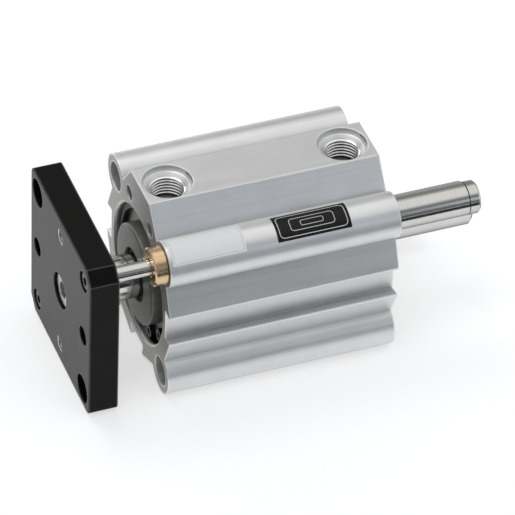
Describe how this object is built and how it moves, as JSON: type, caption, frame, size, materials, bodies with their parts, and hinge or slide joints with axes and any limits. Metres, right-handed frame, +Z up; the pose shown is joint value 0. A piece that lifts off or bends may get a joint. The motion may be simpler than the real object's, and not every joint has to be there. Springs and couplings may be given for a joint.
{
  "type": "guided compact air cylinder",
  "caption": "Short-stroke double-acting air cylinder with a through rod, twin guide rods and a square front plate on an extruded aluminium barrel.",
  "frame": {"origin": "on the bore axis, in the front face of the barrel", "axes": "+X along the rod towards the front plate, +Y across towards the labelled side, +Z up to the ports"},
  "size_m": [0.1547, 0.0668, 0.0734],
  "materials": {
    "silver_anodised": "satin anodised, drawn lines along the profile",
    "grey_anodised": "dark anodised, turned",
    "black_anodised": "black anodised, fine milled grain",
    "plain_aluminium": "turned",
    "bronze": "turned bearing bronze",
    "chromed_steel": "ground and polished",
    "bright_steel": "polished",
    "spring_steel": "dark oiled",
    "zinc_steel": "zinc plated",
    "seal_rubber": "matt",
    "bearing_plastic": "filled plastic",
    "magnet_compound": "plastic-bonded magnet",
    "silver_foil": "matt silver film",
    "black_foil": "gloss black film with a thin white line"
  },
  "bodies": {
    "barrel_body": {"barrel": "silver_anodised", "front_cover": "grey_anodised", "rear_cover": "grey_anodised", "front_cover_ring": "seal_rubber", "rear_cover_ring": "seal_rubber", "front_circlip": "spring_steel", "rear_circlip": "spring_steel", "front_rod_bearing": "bronze", "rear_rod_bearing": "bronze", "front_rod_seal": "seal_rubber", "rear_rod_seal": "seal_rubber", "front_wiper": "seal_rubber", "rear_wiper": "seal_rubber", "guide_bush_near": "bronze", "guide_bush_far": "bronze", "guide_tube_near": "bright_steel", "guide_tube_far": "bright_steel", "tube_plug_near": "bright_steel", "tube_plug_far": "bright_steel", "data_label": "silver_foil", "sensor_label": "black_foil"},
    "rod_body": {"piston_rod": "chromed_steel", "front_plate": "black_anodised", "plate_screw": "zinc_steel", "guide_screws": "zinc_steel", "guide_rod_near": "chromed_steel", "guide_rod_far": "chromed_steel", "rear_piston_half": "plain_aluminium", "front_piston_half": "plain_aluminium", "rear_piston_seal": "seal_rubber", "front_piston_seal": "seal_rubber", "rear_guide_band": "bearing_plastic", "front_guide_band": "bearing_plastic", "piston_magnet": "magnet_compound", "rear_bumper": "seal_rubber", "front_bumper": "seal_rubber", "piston_rod_ring": "seal_rubber", "piston_clips": "spring_steel"}
  },
  "joints": [
    {"name": "rod_stroke", "type": "slide", "parent": "barrel_body", "child": "rod_body", "axis": [1, 0, 0], "range_m": [0, 0.025]}
  ]
}
